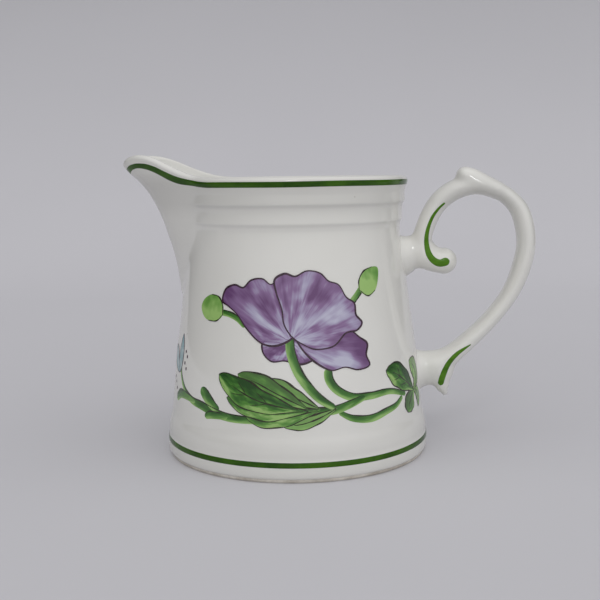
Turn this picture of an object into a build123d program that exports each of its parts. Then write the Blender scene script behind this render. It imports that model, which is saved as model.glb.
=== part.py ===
"""Porcelain cream jug: ribbed barrel, raised pouring lip and scrolled strap handle.

Frame: millimetres, +Z up, origin at the centre of the foot's flat face.
The spout points along -X and the handle along +X. The XZ plane is the plane of symmetry.
"""
from build123d import *
from math import atan2, cos, radians, sin
import os

# Barrel: outer radii from the foot up to the rim
FOOT_RADIUS = 42.5        # widest part, at the enamel line above the foot
CONTACT_RADIUS = 41.4     # outer edge of the ring that touches the table
RIB_BAND_RADIUS = 42.1    # convex band above the enamel line
LOWER_RADIUS = 40.9       # just above the lower groove
WAIST_RADIUS = 33.9       # narrowest part, under the ribs
RIM_RADIUS = 36.3         # outer edge of the rim
WALL = 3.0                # thickness of the porcelain
RIM_HEIGHT = 88.8         # top of the rim away from the spout
WAIST_HEIGHT = 71.5
FLOOR_TOP = 6.2           # inside floor
RECESS_HEIGHT = 2.4       # hollow under the floor
RING_WIDTH = 3.0          # radial width of the bare foot ring
RING_HEIGHT = 1.2

# Spout: outer apex distance from the axis at each height, with the half angle of its root
TIP_ROUND = 5.0           # radius of the channel under the lip
SPOUT_SECTIONS = [        # height, apex distance, half angle in degrees
    (50.0, 37.1, 12.0), (60.0, 38.7, 19.0), (70.0, 41.2, 27.0),
    (79.0, 44.7, 31.0), (86.5, 49.3, 33.5), (92.5, 55.1, 34.5), (99.0, 58.1, 34.5),
]
LIP_WALL_GROWTH = 1.4     # extra horizontal thickness where the lip leans out
ROOT_DEPTH = 0.6          # how near the axis the spout's blank reaches, as a share of the radius
CHANNEL_BACK = -12.0      # the channel's cutter runs on into the barrel, wider than the blank
CHANNEL_SPREAD = 3.0

# Rim curve over the spout: height of the top edge along X
RIM_CURVE = [(-25.0, 88.8), (-30.0, 89.5), (-35.0, 91.2), (-40.0, 93.3), (-44.0, 94.9),
             (-48.0, 96.0), (-52.0, 96.0), (-58.0, 94.0)]

PROFILE = Plane.YZ        # turned profiles start away from the spout and the handle

# Enamel
ENAMEL_DEPTH = 0.25
RIM_LINE_DROP = 1.3       # from the top of the rim to the line
RIM_LINE_WIDTH = 1.5
BASE_LINE_LOW, BASE_LINE_HIGH = 4.8, 6.4
STROKE_DEPTH = 0.6
STROKE_WIDTH = 1.5
CURL_STROKE = [(47.7, 79.8), (44.2, 75.9), (42.3, 69.9), (43.0, 63.9), (46.4, 60.8)]
CURL_DOT_RADIUS = 1.3
SPUR_STROKE = [(56.1, 34.8), (51.9, 31.7), (48.3, 26.8), (47.0, 22.5)]

# Handle: centre line of the strap on the XZ plane, from the lower pad round to the upper pad
STRAP_LINE = [(37.8, 25.9), (44.6, 26.8), (50.7, 30.8), (62.5, 41.9), (72.3, 58.5), (73.9, 67.5),
              (68.4, 81.2), (57.5, 85.3), (48.2, 81.9), (42.5, 73.2), (40.3, 66.3)]
STRAP_THICKNESS = 5.7
STRAP_WIDTH = 11.0
STRAP_ROUND = 2.2
# Lobes of the handle as circles on the same plane: x, z, radius
CURL_LOBE = [(47.9, 61.4, 4.1), (32.8, 63.8, 5.0)]
THUMB_LOBE = [(54.0, 88.5, 3.0), (59.3, 85.7, 3.6), (54.4, 84.1, 2.8)]
LOWER_LOBE = [(39.7, 26.0, 5.8), (49.5, 29.7, 3.2)]
SPUR_LOBE = [(45.2, 25.4, 4.4), (47.6, 20.6, 2.5), (48.6, 18.3, 1.3)]
LOBE_ROUND = 1.6
SPUR_ROUND = 1.1
# Slip around each end: height on the wall, the end's half height, start inside the wall, outer end
UPPER_PAD = (63.7, 5.1, 33.0, 38.2)
LOWER_PAD = (26.0, 5.8, 38.0, 42.8)
PAD_SPREAD = 3.0          # how far the slip spreads on the wall
PAD_ROUND = 2.0


def barrel_outline(inset=0.0):
    """Points of the outer wall, foot to rim, moved towards the axis by inset."""
    points = [
        (FOOT_RADIUS - 0.2, 1.8), (FOOT_RADIUS, 4.2), (FOOT_RADIUS - 0.3, 7.2), (RIB_BAND_RADIUS, 9.2),
        (RIB_BAND_RADIUS - 0.4, 11.8), (LOWER_RADIUS + 0.1, 13.4), (40.7, 17.0), (39.5, 30.0), (37.4, 45.5),
        (35.8, 57.0), (WAIST_RADIUS + 0.1, 69.0), (WAIST_RADIUS, WAIST_HEIGHT), (34.05, 73.8),
        (34.45, 75.4), (34.6, 78.6), (34.65, 80.0), (35.2, 81.6), (35.7, 84.0), (RIM_RADIUS, 87.0),
    ]
    return [(radius - inset, height) for radius, height in points]


def barrel_solid(inset=0.0, top=RIM_HEIGHT):
    """The barrel without its hollow, as a private solid."""
    with BuildPart() as solid:
        with BuildSketch(PROFILE):
            with BuildLine():
                wall = Spline(*barrel_outline(inset))
                edge = Line((CONTACT_RADIUS - inset, 0), wall @ 0)
                Polyline(wall @ 1, (RIM_RADIUS - inset, top), (0, top), (0, 0), edge @ 0)
            make_face()
        revolve(axis=Axis.Z)
    return solid.part


def hollow_solid(top):
    """The space inside the barrel, one wall thickness in from the outside."""
    with BuildPart() as solid:
        with BuildSketch(PROFILE):
            with BuildLine():
                Polyline((0, FLOOR_TOP), (34.5, FLOOR_TOP))
                ThreePointArc((34.5, FLOOR_TOP), (37.0, 7.4), (38.0, 10.0))
                Polyline((38.0, 10.0), (37.4, 20.0), (36.5, 30.0), (34.4, 45.5), (32.8, 57.0),
                         (31.0, 70.0), (31.2, 76.0), (RIM_RADIUS - WALL, 85.0),
                         (RIM_RADIUS - WALL, top), (0, top), (0, FLOOR_TOP))
            make_face()
        revolve(axis=Axis.Z)
    return solid.part


def barrel_radius(height):
    """Outer radius of the plain wall behind the spout, without the ribs."""
    knots = [(45.0, 37.4), (57.0, 35.8), (WAIST_HEIGHT, WAIST_RADIUS), (80.0, 34.6), (RIM_HEIGHT, RIM_RADIUS)]
    for (low, r_low), (high, r_high) in zip(knots, knots[1:]):
        if height <= high:
            return r_low + (r_high - r_low) * (height - low) / (high - low)
    return RIM_RADIUS


def spout_solid(inset=0.0, hollow=False):
    """The outside of the spout back to the axis, or the channel inside it."""
    with BuildPart() as solid:
        for height, apex, half_angle in SPOUT_SECTIONS:
            radius = barrel_radius(height) - inset
            lean = LIP_WALL_GROWTH * max(0.0, (apex - 40.0) / 14.0) if hollow else 0.0
            nose = apex - inset - lean
            side = (-radius * cos(radians(half_angle)), radius * sin(radians(half_angle)))
            half_nose = atan2(side[1], nose + side[0])
            tip = nose + (TIP_ROUND - inset) * (1 / sin(half_nose) - 1)
            if hollow:
                root = (CHANNEL_BACK, side[1] + CHANNEL_SPREAD)
            else:
                root = (side[0] * ROOT_DEPTH, side[1] * ROOT_DEPTH)
            outline = [(-tip, 0), side, root, (root[0], -root[1]), (side[0], -side[1])]
            with BuildSketch(Plane.XY.offset(height)):
                with BuildLine():
                    Polyline(*outline, close=True)
                make_face()
                fillet(vertices().sort_by(Axis.X)[0], TIP_ROUND - inset)
        loft()
    return solid.part


def under_rim(drop, low=40.0):
    """Everything below the rim curve, lowered by drop."""
    with BuildPart() as solid:
        with BuildSketch(Plane.XZ):
            with BuildLine():
                crest = Spline(*[(x, z - drop) for x, z in RIM_CURVE], tangents=((-1, 0), (-1, -0.7)))
                Polyline(crest @ 1, (-70, low), (60, low), (60, RIM_HEIGHT - drop), crest @ 0)
            make_face()
        extrude(amount=60, both=True)
    return solid.part


def lobe(circles, width, rounding):
    """A flat rounded lobe of the handle, the hull of circles on the XZ plane."""
    with BuildPart() as solid:
        with BuildSketch(Plane.XZ):
            for x, z, radius in circles:
                with Locations((x, z)):
                    Circle(radius)
            make_hull()
        extrude(amount=width / 2, both=True)
        sides = solid.faces().filter_by(Axis.Y)
        fillet(sides.edges(), rounding)
    return solid.part


def pad(height, half_height, start, end):
    """The slip around one end of the handle, wide inside the wall and flush with the strap outside."""
    with BuildPart() as solid:
        for x, spread in ((start, PAD_SPREAD), (end, -0.4)):
            with BuildSketch(Plane(origin=(x, 0, height), x_dir=(0, 1, 0), z_dir=(1, 0, 0))):
                RectangleRounded(STRAP_WIDTH + 2 * spread, 2 * (half_height + spread), PAD_ROUND + spread)
        loft()
    return solid.part


def stroke(points, side, dot=0.0):
    """A painted stroke's cutter on one side of the handle: side is 1 at the front, -1 at the back."""
    face = STRAP_WIDTH / 2 - STROKE_DEPTH
    with BuildPart() as solid:
        with BuildSketch(Plane.XZ.offset(side * face)):
            with BuildLine():
                Spline(*points)
            trace(line_width=STROKE_WIDTH)
            if dot:
                with Locations(points[-1]):
                    Circle(dot)
        extrude(amount=side * 2.0)
    return solid.part


TALL = 100.0
barrel_core = barrel_solid(top=TALL)
barrel_skin_cut = barrel_solid(inset=ENAMEL_DEPTH, top=TALL)
spout_core = spout_solid()
spout_skin_cut = spout_solid(inset=ENAMEL_DEPTH)
channel = spout_solid(inset=WALL, hollow=True)
hollow = hollow_solid(TALL + 1)
below_rim = under_rim(0.0, low=-10.0)

with BuildPart() as rim_line:
    add(barrel_core)
    add(spout_core)
    add(under_rim(RIM_LINE_DROP), mode=Mode.INTERSECT)
    add(under_rim(RIM_LINE_DROP + RIM_LINE_WIDTH, low=30.0), mode=Mode.SUBTRACT)
    add(barrel_skin_cut, mode=Mode.SUBTRACT)
    add(spout_skin_cut, mode=Mode.SUBTRACT)
rim_line.part.label = "rim_line"

with BuildPart() as base_line:
    with BuildSketch(PROFILE):
        with Locations((FOOT_RADIUS, (BASE_LINE_LOW + BASE_LINE_HIGH) / 2)):
            Rectangle(2 * ENAMEL_DEPTH, BASE_LINE_HIGH - BASE_LINE_LOW)
    revolve(axis=Axis.Z)
    add(barrel_core, mode=Mode.INTERSECT)
base_line.part.label = "base_line"

with BuildPart() as foot_ring:
    with BuildSketch(Plane.XY):
        Circle(CONTACT_RADIUS + 1)
        Circle(CONTACT_RADIUS - RING_WIDTH, mode=Mode.SUBTRACT)
    extrude(amount=RING_HEIGHT)
    add(barrel_core, mode=Mode.INTERSECT)
foot_ring.part.label = "foot_ring"

with BuildPart() as body:
    add(barrel_core)
    add(below_rim, mode=Mode.INTERSECT)
    add(hollow, mode=Mode.SUBTRACT)
    add(spout_core, mode=Mode.SUBTRACT)
    with BuildSketch(Plane.XY):
        Circle(CONTACT_RADIUS - RING_WIDTH)
    extrude(amount=RECESS_HEIGHT, mode=Mode.SUBTRACT)
    for inlay in (rim_line, base_line, foot_ring):
        add(inlay.part, mode=Mode.SUBTRACT)
body.part.label = "body"

with BuildPart() as spout:
    add(spout_core)
    add(below_rim, mode=Mode.INTERSECT)
    add(channel, mode=Mode.SUBTRACT)
    add(rim_line.part, mode=Mode.SUBTRACT)
spout.part.label = "spout"

with BuildPart() as handle:
    with BuildLine(Plane.XZ) as centre:
        Spline(*STRAP_LINE)
    with BuildSketch(Plane(origin=centre.line @ 0, x_dir=(0, 1, 0), z_dir=centre.line % 0)):
        RectangleRounded(STRAP_WIDTH, STRAP_THICKNESS, STRAP_ROUND)
    sweep()
    add(lobe(CURL_LOBE, STRAP_WIDTH, LOBE_ROUND))
    add(lobe(THUMB_LOBE, STRAP_WIDTH - 2.0, LOBE_ROUND))
    add(lobe(LOWER_LOBE, STRAP_WIDTH, LOBE_ROUND))
    add(lobe(SPUR_LOBE, STRAP_WIDTH - 2.0, SPUR_ROUND))
    add(barrel_core, mode=Mode.SUBTRACT)
strokes = {}
for place, side in (("front", 1), ("back", -1)):
    strokes["scroll_line_" + place] = handle.part & stroke(CURL_STROKE, side, CURL_DOT_RADIUS)
    strokes["spur_line_" + place] = handle.part & stroke(SPUR_STROKE, side)
with handle:
    for piece in strokes.values():
        add(piece, mode=Mode.SUBTRACT)
handle.part.label = "handle"

joints = {}
for name, size in (("upper_handle_joint", UPPER_PAD), ("lower_handle_joint", LOWER_PAD)):
    with BuildPart() as joint:
        add(pad(*size))
        add(barrel_core, mode=Mode.SUBTRACT)
        add(handle.part, mode=Mode.SUBTRACT)
    joints[name] = joint.part

os.makedirs("parts", exist_ok=True)
for piece in (body, spout, foot_ring, handle, rim_line, base_line):
    export_step(piece.part, "parts/" + piece.part.label + ".step")
for name, piece in {**strokes, **joints}.items():
    piece.label = name
    export_step(piece, "parts/" + name + ".step")
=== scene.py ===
"""Porcelain cream jug: glazed vessel, strap handle, green enamel lines and a painted poppy spray.

Frame: the CAD frame, +Z up, spout along -X, handle along +X. Lengths are in millimetres until a
mesh is made, and metres after that.
"""
import math
import bmesh
import bpy
import numpy as np
from mathutils import Matrix, Vector
from mathutils.geometry import delaunay_2d_cdt


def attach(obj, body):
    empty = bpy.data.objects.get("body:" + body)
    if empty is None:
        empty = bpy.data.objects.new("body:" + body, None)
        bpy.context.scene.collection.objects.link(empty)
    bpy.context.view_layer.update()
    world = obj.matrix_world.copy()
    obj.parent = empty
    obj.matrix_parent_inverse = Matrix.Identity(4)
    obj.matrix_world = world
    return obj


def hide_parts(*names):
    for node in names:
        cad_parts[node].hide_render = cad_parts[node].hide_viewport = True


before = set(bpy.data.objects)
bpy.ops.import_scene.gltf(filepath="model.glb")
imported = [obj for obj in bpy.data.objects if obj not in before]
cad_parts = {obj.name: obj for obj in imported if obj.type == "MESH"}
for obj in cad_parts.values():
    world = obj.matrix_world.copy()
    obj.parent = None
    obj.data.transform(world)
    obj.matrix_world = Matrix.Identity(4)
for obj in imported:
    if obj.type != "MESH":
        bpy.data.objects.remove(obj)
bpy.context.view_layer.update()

MM = 0.001
TAU = 2 * math.pi

# ---------------- driving sizes (mm)
RIM_TOP = 88.85  # top of the rim away from the spout
WALL = 3.0  # porcelain thickness below the rim
LIP_THICKNESS = 2.7  # and at the rim
FLOOR_TOP = 6.2  # inside floor
CONTACT_OUTER = 41.4  # the bare ring that touches the table
CONTACT_INNER = 38.4
RECESS_TOP = 2.4  # hollow under the floor
LINE_DROP = 1.2  # from the rim's top down to the enamel line
LINE_WIDTH = 1.75
SIDE_LINE_DROP, SIDE_LINE_GROWTH = 1.0, 0.6  # the line is lower and broader on the spout's sides
TIP_LINE_DROP, TIP_LINE_THINNING = 0.65, 0.15  # and lower still under its tip
BASE_LINE = (4.75, 6.45)
ENAMEL_RISE = 0.05  # how far enamel stands off the glaze
RING_TOP = 1.2  # the bare foot ring ends here
FLOOR_ROUND = 6.0  # where the inside wall turns into the floor
STEM_SPACING = 0.3  # between rows of a brush stroke or a painted stem

# Outer radius of the barrel against height, without the spout
BARREL_KNOTS = [
    (0.9, 41.7), (2, 42.35), (3.6, 42.5), (5.6, 42.45), (7.2, 42.15), (8.6, 42.1), (10.2, 41.92),
    (11.8, 41.62), (12.7, 41.38), (13.7, 41.12), (15.2, 40.88), (18, 40.6), (24, 40.05), (30, 39.45),
    (38, 38.4), (45.5, 37.35), (52, 36.5), (58, 35.7), (64, 34.85), (69, 34.15), (71.6, 33.86),
    (72.8, 33.8), (73.5, 33.88), (74.1, 34.02), (74.6, 34.24), (74.95, 34.46), (75.3, 34.55),
    (77.6, 34.56), (78.6, 34.6), (79.4, 34.7), (80, 34.9), (80.4, 35.14), (80.7, 35.34), (81.1, 35.42),
    (83.5, 35.44), (85, 35.7), (86.2, 36.05), (87.2, 36.25), (88.85, 36.3),
]
# The same wall with the ribs smoothed away, which the spout grows out of
PLAIN_KNOTS = [
    (0, 42.3), (10, 41.8), (20, 40.5), (30, 39.45), (38, 38.4), (45.5, 37.35), (52, 36.5), (58, 35.7),
    (64, 34.85), (69, 34.2), (73, 34.1), (78, 34.45), (83, 35.2), (87, 36), (90, 36.4),
]
# How far the spout's ridge stands out from that wall, and at how many degrees its side meets it
REACH_KNOTS = [
    (44, 0), (48, 0.35), (52, 1.1), (56, 2.1), (60, 3.3), (65, 5.1), (70, 7.2), (75, 8.8), (79, 10.1),
    (82, 11.2), (84.5, 12.3), (86.5, 13.5), (88.1, 14.7), (90.2, 16.8), (91.5, 18.1), (92.8, 19.2),
    (94.2, 20), (97, 20.4),
]
CREASE_KNOTS = [
    (44, 5), (52, 9.5), (58, 15.5), (62, 21), (66, 27.5), (69, 32.5), (75, 38), (80, 39), (87, 39.5),
    (97, 39.5),
]
NOSE_ANGLE = 0.13  # radians over which the spout's ridge is rounded
CREASE_BLEND = 0.4  # softness of the line where the spout leaves the barrel
# Height of the rim against the distance out along the spout
RIM_KNOTS = [
    (24, 88.85), (27, 89.1), (30, 89.6), (33, 90.45), (36, 91.6), (40, 93.4), (43.5, 95), (46.8, 96),
    (49.8, 96.3), (52.3, 96), (54.8, 95.1), (57, 94),
]
LIFT_START, LIFT_END = 60.0, 84.0  # between these the wall stretches up to the spout's rim
SPOUT_START, SPOUT_FULL = 44.0, 52.0  # heights between which the spout comes in
SPOUT_CLEAR, SPOUT_EDGE = 1.2, 0.9  # turns beyond which it is gone, and within which it is whole
FAR_INSIDE = 5.0  # a spout surface this far inside the barrel leaves it round


def smooth_curve(knots):
    """A monotone cubic through the knots, as a function that takes numpy arrays."""
    x, y = np.array(knots, float).T
    step = np.diff(x)
    slope = np.diff(y) / step
    product = slope[:-1] * slope[1:]
    total = np.where(product > 0, slope[:-1] + slope[1:], 1.0)
    tangent = np.concatenate([slope[:1], np.where(product > 0, 2 * product / total, 0.0), slope[-1:]])

    def value(at):
        at = np.clip(at, x[0], x[-1])
        i = np.clip(np.searchsorted(x, at, side="right") - 1, 0, len(x) - 2)
        t = (at - x[i]) / step[i]
        return (y[i] * (1 + 2 * t) * (1 - t) ** 2 + tangent[i] * step[i] * t * (1 - t) ** 2
                + y[i + 1] * t * t * (3 - 2 * t) + tangent[i + 1] * step[i] * t * t * (t - 1))
    return value


barrel_at = smooth_curve(BARREL_KNOTS)
plain_at = smooth_curve(PLAIN_KNOTS)
reach_at = smooth_curve(REACH_KNOTS)
crease_at = smooth_curve(CREASE_KNOTS)
rim_at = smooth_curve(RIM_KNOTS)


def smoothstep(low, high, value):
    t = np.clip((value - low) / (high - low), 0, 1)
    return t * t * (3 - 2 * t)


def wall_radius(turn, height, ribs=True):
    """Outer radius of the vessel; turn is the angle from the spout's line, in radians."""
    turn = np.minimum(np.abs(turn), math.pi)
    plain = plain_at(height)
    barrel = barrel_at(height) if ribs else plain
    apex = plain + reach_at(height)
    crease = np.hypot(np.radians(crease_at(height)), NOSE_ANGLE)
    half = np.arctan2(plain * np.sin(crease) - apex * math.sin(NOSE_ANGLE),
                      apex * math.cos(NOSE_ANGLE) - plain * np.cos(crease))
    swing = np.minimum(np.hypot(turn, NOSE_ANGLE), math.pi / 2 - half)
    spout = apex * np.sin(half + NOSE_ANGLE) / np.sin(half + swing)
    fade = smoothstep(SPOUT_START, SPOUT_FULL, height) * smoothstep(SPOUT_CLEAR, SPOUT_EDGE, turn)
    spout = barrel - FAR_INSIDE + (spout - barrel + FAR_INSIDE) * fade
    gap = barrel - spout
    blend = CREASE_BLEND * fade
    return (barrel + spout + np.sqrt(gap * gap + blend * blend)) / 2


def wall_point(turn, height, ribs=True):
    """Points on the vessel's outer face, as an array of x, y, z rows."""
    radius = wall_radius(turn, height, ribs)
    height = np.broadcast_to(height, np.shape(radius))
    return np.stack([-radius * np.cos(turn), -radius * np.sin(turn), height], axis=-1)


def unit(vectors):
    return vectors / np.linalg.norm(vectors, axis=-1, keepdims=True)


def wall_normal(turn, height, ribs=True):
    """Outward normals of the same face, from small steps along it."""
    swing, climb = 0.001, 0.02
    along = wall_point(turn + swing, height, ribs) - wall_point(turn - swing, height, ribs)
    up = wall_point(turn, height + climb, ribs) - wall_point(turn, height - climb, ribs)
    return unit(np.cross(along, up))


def rim_height(turn):
    """Height of the rim's top edge at each turn, where the wall meets the rim curve."""
    height = np.full(np.shape(turn), RIM_TOP)
    rounds = 40
    for _ in range(rounds):
        out = wall_radius(turn, height, ribs=False) * np.cos(turn)
        height = height * 0.6 + 0.4 * rim_at(out)
    return height


def in_scene(name, data):
    """A new object in the scene."""
    thing = bpy.data.objects.new(name, data)
    bpy.context.scene.collection.objects.link(thing)
    return thing


def mesh_object(name, points, faces):
    """A smooth-shaded Blender object from millimetre points."""
    mesh = bpy.data.meshes.new(name)
    mesh.from_pydata([tuple(p) for p in np.asarray(points) * MM], [], faces)
    mesh.validate()
    mesh.shade_smooth()
    return in_scene(name, mesh)


def skin_rings(rings, closed_ends=True):
    """Points and quads through closed rings of equal length, with a fan at each end."""
    count = len(rings[0])
    points = np.concatenate(rings)
    faces = []
    for ring in range(len(rings) - 1):
        low, high = ring * count, (ring + 1) * count
        for i in range(count):
            j = (i + 1) % count
            faces.append((low + i, low + j, high + j, high + i))
    if closed_ends:
        points = np.concatenate([points, [rings[0].mean(axis=0), rings[-1].mean(axis=0)]])
        first, last, top = len(points) - 2, len(points) - 1, (len(rings) - 1) * count
        for i in range(count):
            j = (i + 1) % count
            faces.append((first, j, i))
            faces.append((last, top + i, top + j))
    return points, faces


def closed_loop(name, rings):
    """An object through rings of points, with the last ring joined back to the first."""
    points, faces = skin_rings(rings + rings[:1], closed_ends=False)
    last = len(rings) * len(rings[0])
    faces = [tuple(i - last if i >= last else i for i in face) for face in faces]
    return mesh_object(name, points[:last], faces)


def grid_shell(rows, columns):
    """Faces of a thin closed shell over a grid of points followed by the same grid underneath."""
    index = np.arange(rows * columns).reshape(rows, columns)
    under = rows * columns
    faces = []
    for i in range(rows - 1):
        for j in range(columns - 1):
            quad = (index[i, j], index[i + 1, j], index[i + 1, j + 1], index[i, j + 1])
            faces.append(quad)
            faces.append(tuple(k + under for k in quad[::-1]))
    loop = list(index[0, :-1]) + list(index[:-1, -1]) + list(index[-1, :0:-1]) + list(index[:0:-1, 0])
    faces += [(a, b, b + under, a + under) for a, b in zip(loop, loop[1:] + loop[:1])]
    return [tuple(int(k) for k in face) for face in faces]


def travelled(rows):
    """Distance along a line at each of its rows."""
    return np.concatenate([[0], np.cumsum(np.linalg.norm(np.diff(rows[:, :2], axis=0), axis=1))])


def directions(rows):
    """Unit vectors along a flat line at each row, and to its left."""
    along = unit(np.gradient(rows[:, :2], axis=0))
    return along, np.stack([-along[:, 1], along[:, 0]], axis=-1)


def through(points, spacing, closed=False):
    """Rows resampled along a smooth line through the points; extra columns go along with them."""
    rows = np.array(points, float)
    if closed:
        rows = np.concatenate([rows, rows[:1]])
    length = travelled(rows)
    before, after = (rows[-2], rows[1]) if closed else (2 * rows[0] - rows[1], 2 * rows[-1] - rows[-2])
    padded = np.concatenate([[before], rows, [after]])
    at = np.linspace(0, length[-1], int(length[-1] / spacing) + 2)
    if closed:
        at = at[:-1]
    i = np.clip(np.searchsorted(length, at, side="right") - 1, 0, len(rows) - 2)
    t = ((at - length[i]) / (length[i + 1] - length[i]))[:, None]
    a, b, c, d = (padded[i + k] for k in range(4))
    return 0.5 * (2 * b + (c - a) * t + (2 * a - 5 * b + 4 * c - d) * t ** 2
                  + (3 * b - a - 3 * c + d) * t ** 3)


# ---------------- vessel
def spread_turns(spout_columns=120, barrel_columns=200, spout_reach=0.66):
    """Column angles round the vessel, closer together over the spout."""
    share = np.linspace(-1, 1, spout_columns, endpoint=False)
    spout = spout_reach * (0.55 * share + 0.45 * share ** 3)
    barrel = np.linspace(spout_reach, TAU - spout_reach, barrel_columns, endpoint=False)
    return np.concatenate([spout, barrel])


def circle_ring(turns, radius, height):
    return np.column_stack([-radius * np.cos(turns), -radius * np.sin(turns), np.full(len(turns), height)])


TURNS = spread_turns()
TURNS = np.where(TURNS > math.pi, TURNS - TAU, TURNS)
TOP = rim_height(TURNS)
LIP_RADIUS = LIP_THICKNESS / 2
LIP_FOOT = RIM_TOP - LIP_RADIUS  # where the rounded lip begins, away from the spout
RECESS_RADII = (12.0, 24.0, 33.0, 36.6, 37.4)  # columns across the ceiling of the hollow
RECESS_WALL = [(CONTACT_INNER - 0.3, 2.1), (CONTACT_INNER, 1.6), (CONTACT_INNER, RING_TOP)]
INNER_RIBS_END = 82.0  # below this the inside is plain


def surface_up(normal):
    """The steepest way up along the face with this normal."""
    return unit(np.array([0.0, 0.0, 1.0]) - normal * normal[:, 2:3])


def lip_start():
    """Height on each column where the outer face hands over to the rounded lip."""
    height = TOP - LIP_RADIUS
    for _ in range(4):
        normal = wall_normal(TURNS, height)
        height = TOP - LIP_RADIUS * (surface_up(normal)[:, 2] - normal[:, 2])
    return height


def lifted(height, lift):
    """A height on each column, stretched up with the spout's rim."""
    return height + lift * smoothstep(LIFT_START, LIFT_END, height)


def outer_rings(lift):
    """The hollow under the floor, the inner face of the foot, and the outer wall up to the lip."""
    profile = [(radius, RECESS_TOP) for radius in RECESS_RADII] + RECESS_WALL
    rings = [circle_ring(TURNS, *corner) for corner in profile]
    stretches = [(RING_TOP, 16.0, 46), (16.0, 72.0, 52), (72.0, LIP_FOOT, 70)]
    for height in np.concatenate([[RING_TOP]] + [np.linspace(*stretch)[1:] for stretch in stretches]):
        rings.append(wall_point(TURNS, lifted(height, lift)))
    return rings


def lip_rings(start):
    """The rounded edge, from the outer face over to the inside."""
    normal = wall_normal(TURNS, start)
    up = surface_up(normal)
    centre = wall_point(TURNS, start) - normal * LIP_RADIUS
    return [centre + LIP_RADIUS * (normal * math.cos(bend) + up * math.sin(bend))
            for bend in np.linspace(0, math.pi, 15)[1:]]


def inner_rings(lift):
    """The inside from the lip down to the round of the floor, with the ribs fading out of it."""
    rings = []
    for height in np.linspace(LIP_FOOT, FLOOR_TOP + FLOOR_ROUND, 90)[1:]:
        at = lifted(height, lift)
        inset = LIP_THICKNESS + (WALL - LIP_THICKNESS) * smoothstep(RIM_TOP, 70.0, height)
        plain, shaped = (wall_point(TURNS, at, ribs) - inset * wall_normal(TURNS, at, ribs)
                         for ribs in (False, True))
        rings.append(plain + (shaped - plain) * smoothstep(INNER_RIBS_END, LIP_FOOT, height))
    return rings


def floor_rings(wall_inside):
    """The round between wall and floor, then the floor itself."""
    inside = wall_inside - FLOOR_ROUND
    profile = [(inside + FLOOR_ROUND * math.cos(bend), FLOOR_TOP + FLOOR_ROUND * (1 - math.sin(bend)))
               for bend in np.linspace(0, math.pi / 2, 12)[1:]]
    profile += [(inside * share, FLOOR_TOP) for share in (0.8, 0.55, 0.3, 0.1)]
    return [circle_ring(TURNS, *corner) for corner in profile]


def build_vessel():
    """Barrel, spout, lip, inside and hollow as one closed skin; it stands on the foot ring."""
    start = lip_start()
    lift = start - LIP_FOOT
    rings = outer_rings(lift) + lip_rings(start) + inner_rings(lift)
    rings += floor_rings(np.hypot(rings[-1][:, 0], rings[-1][:, 1]).mean())
    return mesh_object("vessel", *skin_rings(rings))


def build_foot_ring():
    """The bare ring that the jug stands on, turned round the Z axis."""
    profile = [
        (CONTACT_INNER, RING_TOP), (CONTACT_INNER, 0.35), (CONTACT_INNER + 0.12, 0.1),
        (CONTACT_INNER + 0.4, 0.0), (CONTACT_OUTER - 0.35, 0.0), (CONTACT_OUTER, 0.14),
        (CONTACT_OUTER + 0.22, 0.5), (float(barrel_at(RING_TOP)), RING_TOP)]
    turns = np.linspace(0, TAU, 256, endpoint=False)
    return closed_loop("foot_ring_bare", [circle_ring(turns, *corner) for corner in profile])


# ---------------- handle
# Limbs of the handle on the XZ plane: x, z, half thickness in the plane, half width across it
SCROLL = [
    (45.6, 27.8, 4.2, 5.4), (49, 29.7, 3.5, 5.4), (52.2, 32.1, 3.05, 5.4), (56.2, 35.7, 2.85, 5.4),
    (62.4, 41.9, 2.65, 5.4), (68.5, 49.9, 2.7, 5.4), (72.3, 58.5, 2.95, 5.4), (73.9, 67.3, 3, 5.4),
    (72.2, 76.1, 3, 5.4), (68.4, 81.2, 2.75, 5.3), (63.2, 84.3, 2.65, 5.1), (57.5, 85.3, 2.9, 5),
    (52.2, 84.3, 3.2, 5), (48.1, 81.9, 3.2, 5), (44.9, 78.4, 3.1, 5), (42.3, 73.1, 3, 5),
    (40.8, 67.6, 3.2, 5), (41.5, 63.7, 3.4, 5), (44, 61.8, 3.7, 5), (47.9, 61.3, 4.2, 4.9),
]
UPPER_ARM = [
    (31.8, 62.8, 8.2, 8), (34.4, 63.1, 7, 6.8), (36.2, 63.5, 6.1, 5.8), (38.5, 63.9, 5.4, 5.1),
    (42.2, 63.5, 4.3, 4.8),
]
LOWER_ARM = [
    (36.8, 25.9, 8.2, 7.8), (39.1, 25.9, 7, 6.7), (40.9, 26.1, 6, 5.7), (43.6, 26.3, 5.5, 5.3),
    (46.6, 26.6, 4.8, 5.2),
]
THUMB_REST = [
    (54.5, 88.4, 2.9, 4.6), (56.9, 87.6, 3, 4.7), (60.2, 85.9, 2.9, 4.8), (64.1, 83.9, 2.4, 4.9),
]
SPUR = [(46.4, 24.9, 4.3, 4.9), (47.2, 22.2, 3.1, 4.3), (47.8, 19.8, 2, 3.4), (48.6, 17.9, 0.8, 2.2)]
LIMB_SQUARENESS = 1.9  # exponent of the section: 2 is an ellipse
LIMB_BLEND = 1.6  # fillet where two limbs run together
HANDLE_BITE = 1.2  # how far the handle's ends reach into the wall
HANDLE_VOXEL = 0.6
LIMB_SPACING = 0.7
SETTLE_ROUNDS, RELAX_ROUNDS = 3, 4
LARGEST_MOVE = 0.8  # of a point in one round of settling
LIMBS = [through(limb, LIMB_SPACING) for limb in (SCROLL, UPPER_ARM, LOWER_ARM, THUMB_REST, SPUR)]


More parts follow.
